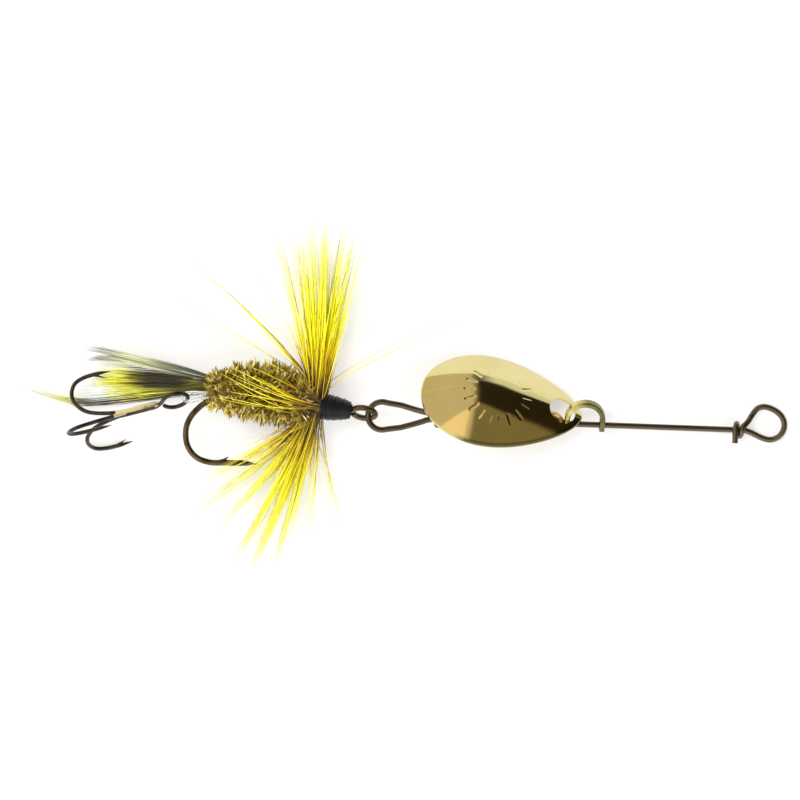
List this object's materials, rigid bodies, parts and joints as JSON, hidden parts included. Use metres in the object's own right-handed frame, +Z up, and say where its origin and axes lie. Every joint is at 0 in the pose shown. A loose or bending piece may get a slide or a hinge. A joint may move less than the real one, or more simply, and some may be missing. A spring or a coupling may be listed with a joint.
{
  "type": "inline spinner",
  "caption": "Small inline spinner for trout: a domed gold blade turns on a clevis ahead of a linked hook fly with yellow hackle and a stinger treble on a line loop",
  "frame": {"origin": "centre of the bottom of the box of the lure as it lies on a flat surface", "axes": "+X along the lure towards the line tie, +Y across it, +Z up from the surface"},
  "size_m": [0.077, 0.0342, 0.0085],
  "materials": {
    "spring_wire": "brown-grey spring wire, drawn finish with a soft lengthwise gloss",
    "bead_brass": "turned brass, lightly tarnished",
    "gold_plate": "polished gold plate",
    "hook_bronze": "bronzed hook wire",
    "hook_black": "black nickel hook wire with a brazed gold-brown seam",
    "black_thread": "black tying thread under clear varnish",
    "under_thread": "waxed olive-yellow tying thread",
    "gold_chenille": "antique gold tinsel chenille, spiky",
    "yellow_hackle": "dyed yellow rooster hackle with a few dark fibres",
    "grizzly_feather": "grey-green barred feather",
    "olive_feather": "dark olive barred feather",
    "yellow_feather": "yellow feather with dark bars and pale edges",
    "clear_line": "clear nylon monofilament"
  },
  "bodies": {
    "shaft": {"shaft_wire": "spring_wire"},
    "rear_bead": {"rear_bead": "bead_brass"},
    "weight_body": {"weight_body": "bead_brass"},
    "bearing_bead": {"bearing_bead": "bead_brass"},
    "clevis": {"clevis": "gold_plate"},
    "blade": {"blade": "gold_plate"},
    "fly": {"fly_hook": "hook_bronze", "thread_head": "black_thread", "thread_underbody": "under_thread", "body_chenille": "gold_chenille", "collar_hackle": "yellow_hackle", "tail_feather_grizzly": "grizzly_feather", "tail_feather_olive": "olive_feather", "tail_feather_yellow": "yellow_feather", "tail_feather_dark": "olive_feather", "tail_feather_long": "yellow_feather"},
    "stinger_loop": {"stinger_loop": "clear_line"},
    "stinger_treble": {"stinger_treble": "hook_black"}
  },
  "joints": [
    {"name": "stack_slide", "type": "slide", "parent": "shaft", "child": "rear_bead", "axis": [0.9981, 0, -0.061], "range_m": [0, 0.0123]},
    {"name": "weight_spin", "type": "hinge", "parent": "rear_bead", "child": "weight_body", "pos_m": [0.01046, -0.00172, 0.00235], "axis": [0.9981, 0, -0.061], "continuous": true},
    {"name": "bead_spin", "type": "hinge", "parent": "weight_body", "child": "bearing_bead", "pos_m": [0.01492, -0.00172, 0.00208], "axis": [0.9981, 0, -0.061], "continuous": true},
    {"name": "clevis_spin", "type": "hinge", "parent": "bearing_bead", "child": "clevis", "pos_m": [0.01811, -0.00172, 0.00188], "axis": [0.9981, 0, -0.061], "continuous": true},
    {"name": "blade_swing", "type": "hinge", "parent": "clevis", "child": "blade", "pos_m": [0.01813, -0.00114, 0.00224], "axis": [-0.0518, 0.5299, -0.8465], "range_deg": [0, 60]},
    {"name": "fly_swing", "type": "hinge", "parent": "shaft", "child": "fly", "pos_m": [-0.00216, -0.0016, 0.00312], "axis": [0.061, 0, 0.9981], "range_deg": [-40, 40]},
    {"name": "loop_flex", "type": "hinge", "parent": "fly", "child": "stinger_loop", "pos_m": [-0.01859, -0.00001, 0.00374], "axis": [-0.1374, 0.9905, 0], "range_deg": [0, 50]},
    {"name": "treble_swing", "type": "hinge", "parent": "stinger_loop", "child": "stinger_treble", "pos_m": [-0.02163, -0.00043, 0.00374], "axis": [0, 0, 1], "range_deg": [-12, 35]}
  ]
}
